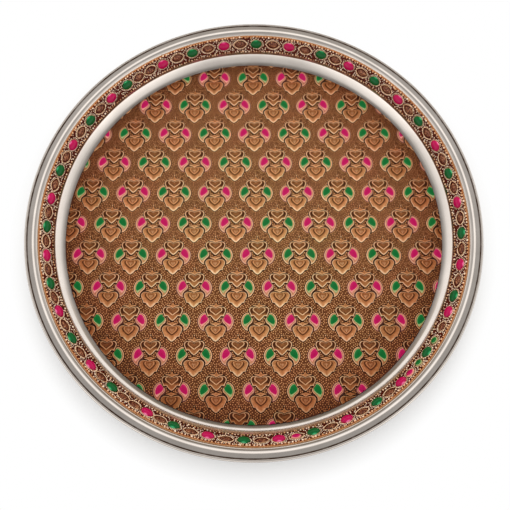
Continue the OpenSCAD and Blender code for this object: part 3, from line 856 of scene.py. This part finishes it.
# %% [markdown]
# ## The ground sheet
# The sheet is a disc of rings about a millimetre apart, turned up a little where it meets the cove.
# Each of its points carries the distance to the nearest outline, which the material darkens by.

# %% Distance to the outlines
TINY = 1e-12


def distance_to(points, ring):
    """Distance from each point to a closed outline, negative inside it."""
    best = np.full(len(points), 1e9)
    inside = np.zeros(len(points), bool)
    for a, b in zip(ring, np.roll(ring, -1, 0)):
        ab = b - a
        t = np.clip(((points - a) @ ab) / (ab @ ab), 0, 1)
        best = np.minimum(best, np.linalg.norm(points - (a + t[:, None] * ab), axis=1))
        crosses = (a[1] > points[:, 1]) != (b[1] > points[:, 1])
        x_at = a[0] + (points[:, 1] - a[1]) * ab[0] / (ab[1] or TINY)
        inside ^= crosses & (points[:, 0] < x_at)
    return np.where(inside, -best, best)


outlines = [crown_outer, root_outer, finial_rings[0], foot_rings[0], leaf_outline, leaf_outline * (-1, 1),
            TIP + circle(TIP_R, 8)]


def away_from(points, places):
    """Distance from each point to the nearest outline of the motifs at these places."""
    away = np.full(len(points), 9.0)
    for x, y in places:
        near = np.where((abs(points[:, 0] - x) < 15) & (abs(points[:, 1] - y + 1.5) < 17))[0]
        if len(near):
            least = np.min([distance_to(points[near] - (x, y), outline) for outline in outlines], axis=0)
            away[near] = np.minimum(away[near], least)
    return away


# %% Ground sheet
ring_n = round(SHEET_R)
edge_n = 6 * ring_n
turn_r = COVE_R - BOND
disc = np.vstack([np.zeros((1, 2))] + [circle(SHEET_R * k / ring_n, 6 * k) for k in range(1, ring_n + 1)])
starts = np.cumsum([0, 1] + [6 * k for k in range(1, ring_n + 1)])
sheet_faces = []
for k in range(1, ring_n + 1):
    for i in range(6 * k):
        side, step = divmod(i, k)
        inner = side * (k - 1) + step
        near, beside = starts[k - 1] + np.array([inner, inner + 1]) % max(6 * (k - 1), 1)
        out, next_out = starts[k] + i, starts[k] + (i + 1) % (6 * k)
        sheet_faces.append((near, out, next_out))
        if step < k - 1:
            sheet_faces.append((near, next_out, beside))
away = away_from(disc, spots[:, :2])
over = np.clip(np.hypot(disc[:, 0], disc[:, 1]) - FLOOR_R, 0, None)
rise = turn_r - SHEET_T - np.sqrt((turn_r - SHEET_T) ** 2 - over ** 2)
swell = 0.08 * np.clip(away / 2.5, 0, 1) + rng.normal(0, 0.01, len(disc))
top = np.column_stack([disc, SHEET_TOP - 0.03 + rise + swell])
rim_section = arc(cove_c, turn_r, 285, 270, 3) + [(FLOOR_R - 20, STEEL_T + BOND)]
rim_points, rim_faces = spin(rim_section, edge_n)
rim = np.arange(edge_n)
after = np.roll(rim, -1)
joint = np.stack([starts[-2] + rim, len(disc) + rim, len(disc) + after, starts[-2] + after], 1)
sheet_faces += [*joint, *(rim_faces[:, [0, 3, 2, 1]] + len(disc))]
sheet = make_object("floor_struck_sheet", np.vstack([top, rim_points]), sheet_faces,
                    {"away": np.append(away, np.ones(len(rim_points)))}, sharp=50)
sheet.data.materials.append(ground)
print("ground:", len(disc), "points,", len(sheet_faces), "faces")

# %% [markdown]
# ### The ground's dots
# The die's dots stand in rows along the outlines. One repeat of the pattern is filled with a
# lattice of dots, each dot slides to the nearest row, crowded ones are dropped, and the repeat
# tree sets the result on every motif's place.

# %% Dots of the ground
ACROSS, UP = 27, 24
FIRST_ROW = 0.9
ROW_STEP = 1.28
ROWS_END = 4.4
DOT_GAP = 1.08
DOT_R = 0.56
side_a = np.array([COLUMN_PITCH, 0])
side_b = np.array([COLUMN_PITCH / 2 - ROW_PITCH * LEAN, ROW_PITCH])
neighbours = np.array([i * side_a + j * side_b for i in range(-2, 3) for j in range(-2, 3)])
s, t = np.meshgrid((np.arange(ACROSS) + 0.5) / ACROSS - 0.5, (np.arange(UP) + 0.5) / UP - 0.5)
s = (s + np.arange(UP)[:, None] % 2 * 0.5 / ACROSS).ravel()
dots = s[:, None] * side_a + t.ravel()[:, None] * side_b + rng.normal(0, 0.05, (len(s), 2))
for _ in range(2):
    gap = away_from(dots, neighbours)
    slope = np.stack([away_from(dots + step, neighbours) - gap for step in ((0.05, 0), (0, 0.05))], 1)
    slope /= np.maximum(np.linalg.norm(slope, axis=1), 1e-9)[:, None]
    row = np.maximum(FIRST_ROW + ROW_STEP * np.round((gap - FIRST_ROW) / ROW_STEP), FIRST_ROW)
    dots += slope * (np.where(gap < ROWS_END, row - gap, 0) * (gap > 0.1))[:, None]
dots = dots[away_from(dots, neighbours) > 0.8]
chosen = np.zeros((0, 2))
for dot in dots:
    if all(np.all(np.linalg.norm(chosen + n - dot, axis=1) > DOT_GAP) for n in neighbours):
        chosen = np.vstack([chosen, dot])
sizes = rng.uniform(0.85, 1.1, len(chosen))
dot_part = join([loft([(dot + circle(DOT_R * size, 6), 0.0, 0.1)], (dot, 0.02 + 0.32 * size, 1.5))
                 for dot, size in zip(chosen, sizes)])
print("dots in one repeat:", len(chosen))
dot_spots, _ = motif_places(CUT_R + 27)
ground_dots = repeat("floor_struck_dots", dot_part, dot_spots, ground, cut=CUT_R, away=1.2)
for piece in (sheet, ground_dots, crown, root, wings, cups_pink, cups_green, leaf_pink, leaf_green):
    piece.data.transform(Matrix.Translation((0, OFF_CENTRE * MM, 0)))

# %% [markdown]
# ## The border
# Everything on the strip is set in a frame of its own: x runs up the wall, y along the rim and z
# off the wall. The drops stand 9 degrees apart, stretched on one side and uneven where the strip
# was pieced. The gaps hold one or two ovals, as they have room.

# %% Border places
FIRST_DROP = 6.4
DROP_STEP = 9
STRETCH_FROM, STRETCH_TO, STRETCH = 70, 212, 4.8
NUDGED = {13: 3, 25: -0.8, 26: 1.3, 34: -0.8, 35: 0.7, 36: 4.2}
PIECED = {34: [(0.32, "pink"), (0.66, "green")], 35: [(0.3, "green"), (0.65, "dull")]}
OVAL_L, SHORT_OVAL_L = 8.6, 6.8
STRIP_MIDDLE = STRIP_W / 2 + 0.15
mid_r = wall_point(STRIP_LIFT + STRIP_W / 2, 0)[0]
one_oval = math.degrees(math.atan((8.8 + OVAL_L) / mid_r))
two_ovals = one_oval + math.degrees(math.atan(OVAL_L / mid_r))
drop_angles = []
for i in range(40):
    even = FIRST_DROP + DROP_STEP * i
    share = np.clip((even - STRETCH_FROM) / (STRETCH_TO - STRETCH_FROM), 0, 1)
    drop_angles.append(even + STRETCH * math.sin(math.pi * share) + NUDGED.get(i, 0))
ovals = []
for i, (angle, after) in enumerate(zip(drop_angles, drop_angles[1:] + [drop_angles[0] + 360])):
    if i in PIECED:
        ovals += [(angle + (after - angle) * share, SHORT_OVAL_L, kind) for share, kind in PIECED[i]]
    else:
        n = (after - angle >= one_oval) + (after - angle >= two_ovals)
        kind = "pink" if i == 30 else "dull"
        ovals += [(angle + (after - angle) * k / (n + 1), OVAL_L, kind) for k in range(1, n + 1)]


def on_strip(angles, ups, offs=0.0, twists=0.0):
    """Places and turns for pieces on the strip, at angles in degrees and lengths up it in millimetres."""
    places, turns = [], []
    for angle, up, off, twist in zip(*np.broadcast_arrays(np.radians(angles), ups, offs, twists)):
        r, z = wall_point(STRIP_LIFT + up, BOND + STRIP_T + off)
        places.append(turned(r, angle, z))
        turns.append((Matrix.Rotation(angle, 3, "Z") @ Matrix.Rotation(-WALL_A, 3, "Y")
                      @ Matrix.Rotation(twist, 3, "Z")).to_euler())
    return np.array(places), np.array(turns)


print(len(drop_angles), "drops,", len(ovals), "ovals")

# %% [markdown]
# ### The dark strip
# The strip's ground was struck all over with small lumps, and its outer edge is a polished rail.
# Each point of a fine grid looks for the nearest lump and rises with it.

# %% Strip
def lumps(u, v, pitch, seed, width):
    """Height of round lumps scattered about this far apart over a strip that closes on itself."""
    columns = round(width / pitch)
    rows = math.ceil(STRIP_W / pitch) + 2
    cell_w = width / columns
    source = np.random.default_rng(seed)
    jitter_u, jitter_v = source.uniform(0.15, 0.85, (2, rows, columns))
    size = source.uniform(0.28, 0.52, (rows, columns)) * pitch
    best = np.zeros_like(u)
    for du in (-1, 0, 1):
        for dv in (-1, 0, 1):
            ru, rv = np.floor(u / pitch).astype(int) + du, np.floor(v / cell_w).astype(int) + dv
            ri, vi = np.clip(ru, 0, rows - 1), rv % columns
            far = np.hypot(u - (ru + jitter_u[ri, vi]) * pitch, v - (rv + jitter_v[ri, vi]) * cell_w)
            best = np.maximum(best, np.where(ru == ri, 1 - (far / size[ri, vi]) ** 2, 0))
    return best


AROUND, UP_N = 1800, 25
length = 2 * math.pi * mid_r
u, v = np.meshgrid(np.linspace(0, STRIP_W, UP_N), length * np.arange(AROUND) / AROUND, indexing="ij")
lump = np.maximum(lumps(u, v, 1.55, 3, length), 0.8 * lumps(u, v, 1.15, 4, length))
rail = np.clip(1 - abs(u - STRIP_W + 0.25) / 0.5, 0, 1)
r, z = wall_point(STRIP_LIFT + u, BOND + STRIP_T * 0.75 + 0.2 * lump * (1 - rail) + 0.35 * rail)
top = turned(r, full_turn(AROUND), z).reshape(-1, 3)
feet, _ = spin([wall_point(STRIP_LIFT + up, BOND) for up in (STRIP_W, 0.0)], AROUND)
shine = np.concatenate([(0.16 * lump * (1 - rail) + 1.05 * rail).ravel(), np.repeat([0.9, 0.2], AROUND)])
strip_faces = grid_faces(UP_N + 2, AROUND, closed_rows=True, closed_columns=True)[:, ::-1]
strip = make_object("border_struck_strip", np.vstack([top, feet]), strip_faces, {"lump": shine}, sharp=60)
strip.data.materials.append(strip_dark)

# %% [markdown]
# ### The bead rows
# A row of gold grains was soldered along each edge of the strip. They are uneven in size and
# wander a little, as hand-set grains do.

# %% Bead rows
grain, grain_faces, _ = loft([(circle(0.5 * math.cos(t), 8), 0.5 * math.sin(t), 1.0)
                              for t in np.radians(np.linspace(-60, 60, 5))], ((0, 0), 0.5, 1.0))
grain_faces += [((i + 1) % 8, i, len(grain)) for i in range(8)]
grain_part = (np.vstack([grain, (0, 0, -0.5)]), grain_faces, np.ones(len(grain) + 1))


def bead_row(name, count, up, smallest, largest):
    """A row of grains of uneven size that wanders a little up and down the strip."""
    angles = 360 * (np.arange(count) + rng.uniform(-0.18, 0.18, count)) / count
    sizes = rng.uniform(smallest, largest, count)
    places, turns = on_strip(angles, up + rng.normal(0, 0.15, count), sizes * 0.35)
    grows = np.stack([sizes, sizes * rng.uniform(0.9, 1.25, count), sizes * 0.85], 1)
    return repeat(name, grain_part, places, gold_grain, turns=turns, grows=grows)


outer_beads = bead_row("grains_outer_row", 420, STRIP_W * 0.93, 1.0, 1.55)
inner_beads = bead_row("grains_inner_row", 440, STRIP_W * 0.07, 0.9, 1.4)

# %% [markdown]
# ### The wire ovals
# Each oval is a ring of gold wire round a low cabochon: a dull stone, or enamel in a few of them.
# A wire is a small circle carried along the oval, and a cabochon a stack of shrinking outlines.

# %% Wire ovals
def pointed_oval(length, width, count):
    """Points of a pointed oval, long along y, from its lower point round and back."""
    r = (length ** 2 + width ** 2) / (4 * width)
    half = math.asin(length / 2 / r)
    t = np.linspace(-half, half, count // 2 + 1)[:-1]
    right = turned(r, t)[:, :2] - (r - width / 2, 0)
    return np.vstack([right, -right])


def tube(path, radius, lift, sides=8):
    """A round wire along a closed flat path."""
    rings, _, wear = loft([(grown(path, -radius * math.cos(t)), lift + radius * math.sin(t), 1.0)
                           for t in full_turn(sides)])
    return rings, grid_faces(sides, len(path), closed_rows=True, closed_columns=True)[:, ::-1], wear


def dome(outline, rise):
    """A cabochon: shrinking outlines under a round cap."""
    return loft([(outline, 0.0, 0.0)] + [(outline * s, rise * (0.25 + 0.75 * math.sqrt(1 - s * s)), 1 - s)
                                         for s in (1.0, 0.92, 0.78, 0.55, 0.28)], ((0, 0), rise, 1.0))


def strip_repeat(name, part, angles, finish, number="wear", off=0.03, twist=0.04):
    """Sets a part on the strip's middle at these angles, each a little out of line."""
    angles = np.array(angles) + rng.normal(0, 0.06, len(angles))
    ups = STRIP_MIDDLE + rng.normal(0, 0.1, len(angles))
    places, turns = on_strip(angles, ups, off, rng.normal(0, twist, len(angles)))
    return repeat(name, part, places, finish, number, turns)


WIRE_R, WIRE_LIFT = 0.17, 0.3
FILL_RISE = 1.3


def where(wanted):
    """The angles of the ovals of this length or kind."""
    return [angle for angle, *what in ovals if wanted in what]


long_wire = tube(pointed_oval(9.4, 5.9, 44), WIRE_R, WIRE_LIFT)
short_wire = tube(pointed_oval(7.2, 5.7, 40), WIRE_R, WIRE_LIFT)
stone = dome(pointed_oval(6.6, 4.1, 24), 0.6)
long_fill = dome(pointed_oval(6.6, 4.6, 28), FILL_RISE)
short_fill = dome(pointed_oval(5.2, 4.6, 28), FILL_RISE)
wire_long = strip_repeat("wire_ovals_long", long_wire, where(OVAL_L), gold_wire)
wire_short = strip_repeat("wire_ovals_short", short_wire, where(SHORT_OVAL_L), gold_wire)
stones = strip_repeat("stones_dull", stone, where("dull"), dull_ruby, "pool")
fill_pink = strip_repeat("fills_pink", long_fill, where("pink"), pink_enamel, "pool")
fill_green = strip_repeat("fills_green", short_fill, where("green"), green_enamel, "pool")

# %% [markdown]
# ### The drops
# A drop is a plump cabochon of pink or green glass in a thin gold collar. Its outer side is
# painted lighter, as a highlight.

# %% Drops and collars
def plump_oval(length, width, count):
    """A plump oval: rounder than a pointed one, with a soft point at each end."""
    c, s = circle(1.0, count)[:, ::-1].T * [[1], [-1]]
    c, s = np.sign(c) * np.abs(c) ** 0.95, np.sign(s) * np.abs(s) ** 1.12
    return 0.5 * np.stack([width * c, length * s], 1)


DROP_L, DROP_W = 8.0, 5.9
drop, drop_faces, _ = dome(plump_oval(DROP_L, DROP_W, 40), 2.2)
# A painted highlight: the pool number falls to light on the drop's outer side.
painted_outer_highlight = np.clip(drop[:, 0] / (DROP_W / 2) - 0.68, 0, 0.3) / 0.3
drop_part = (drop, drop_faces, 0.75 - 0.75 * painted_outer_highlight)
collar_part = tube(plump_oval(8.3, 6.15, 44), 0.13, 0.14)
drop_pink = strip_repeat("drops_pink", drop_part, drop_angles[::2], pink_glass, "pool", 0.05, 0.0)
drop_green = strip_repeat("drops_green", drop_part, drop_angles[1::2], green_glass, "pool", 0.05, 0.0)
collars = strip_repeat("collars_gold", collar_part, drop_angles, gold_wire, off=0.05, twist=0.0)

# %% [markdown]
# ### Small grains
# Fine grains follow each oval and drop in a scalloped row, and more are scattered in what is left
# of the strip. A grain is kept only where it stands clear of the ovals and of the other grains.

# %% Scattered grains
SEAT_STEP = 1.12
EDGE = 1.45
CLEAR = 0.12
GRAIN_GAP = 0.98
SEAT = ((0.5, -0.1), (0.5, 0.15), (0.33, 0.38))
seat_part = loft([(circle(r, 6), z, 1.0) for r, z in SEAT], ((0, 0), 0.5, 1.0))
jewels = [(angle, plump_oval(8.9, 6.8, 30)) for angle in drop_angles]
jewels += [(angle, pointed_oval(size + 1.2, 6.4, 30)) for angle, size, _ in ovals]
jewels = [(angle * math.radians(mid_r), outline) for angle, outline in jewels]
seats = np.vstack([(at, STRIP_MIDDLE) + walk(1.09 * np.vstack([ring, ring[:1]]), step=SEAT_STEP)[:, ::-1]
                   for at, ring in jewels])
seats += rng.normal(0, 0.06, seats.shape)
loose = np.meshgrid(np.arange(0, length, 1.1), np.arange(1.5, STRIP_W - 1.2, 1.0))
loose = np.stack(loose, -1).reshape(-1, 2)
loose += rng.uniform(-0.3, 0.3, loose.shape)
seats = np.vstack([seats, loose[rng.random(len(loose)) < 0.6]])
seats[:, 0] %= length
seats = seats[(seats[:, 1] > EDGE) & (seats[:, 1] < STRIP_W - EDGE)]
clear = np.ones(len(seats), bool)
for at, outline in jewels:
    across = (seats[:, 0] - at + length / 2) % length - length / 2
    near = np.where(np.abs(across) < 7)[0]
    local = np.column_stack([seats[near, 1] - STRIP_MIDDLE, across[near]])
    clear[near] &= distance_to(local, outline) > CLEAR
grains = np.zeros((0, 2))
for seat in seats[clear]:
    if np.all(np.linalg.norm(grains - seat, axis=1) > GRAIN_GAP):
        grains = np.vstack([grains, seat])
sizes = rng.uniform(0.62, 1.0, len(grains))
places, turns = on_strip(np.degrees(grains[:, 0] / mid_r), grains[:, 1])
scattered = repeat("border_small_grains", seat_part, places, strip_dark, "lump", turns, sizes[:, None])

# %% [markdown]
# ## Handing the pieces to the frame
# Each visible piece rides on the one body, stands for a CAD node, and names the slot that its
# finish comes from.

# %% Hand over
HAND_OVER = [
    (dish, "steel_dish", "polished_steel"),
    (sheet, "floor_sheet", "struck_gold"),
    (crown, "crown_hearts", "stamped_gold"),
    (root, "root_hearts", "stamped_gold"),
    (wings, "heart_wings", "stamped_gold"),
    (ground_dots, "floor_sheet", "struck_gold"),
    (cups_pink, "leaf_cups", "stamped_gold"),
    (cups_green, "leaf_cups", "stamped_gold"),
    (leaf_pink, "leaf_enamel_pink", "enamel_pink"),
    (leaf_green, "leaf_enamel_green", "enamel_green"),
    (strip, "border_strip", "dark_strip"),
    (scattered, "border_strip", "dark_strip"),
    (outer_beads, "outer_bead_row", "gold_grain"),
    (inner_beads, "inner_bead_row", "gold_grain"),
    (wire_long, "wire_ovals", "gold_wire"),
    (wire_short, "wire_ovals", "gold_wire"),
    (stones, "oval_stones", "dull_ruby"),
    (fill_pink, "oval_fills_pink", "enamel_pink"),
    (fill_green, "oval_fills_green", "enamel_green"),
    (collars, "drop_collars", "gold_wire"),
    (drop_pink, "pink_drops", "drop_pink"),
    (drop_green, "green_drops", "drop_green"),
]
for piece, node, slot in HAND_OVER:
    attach(piece, "root")
    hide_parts(node)
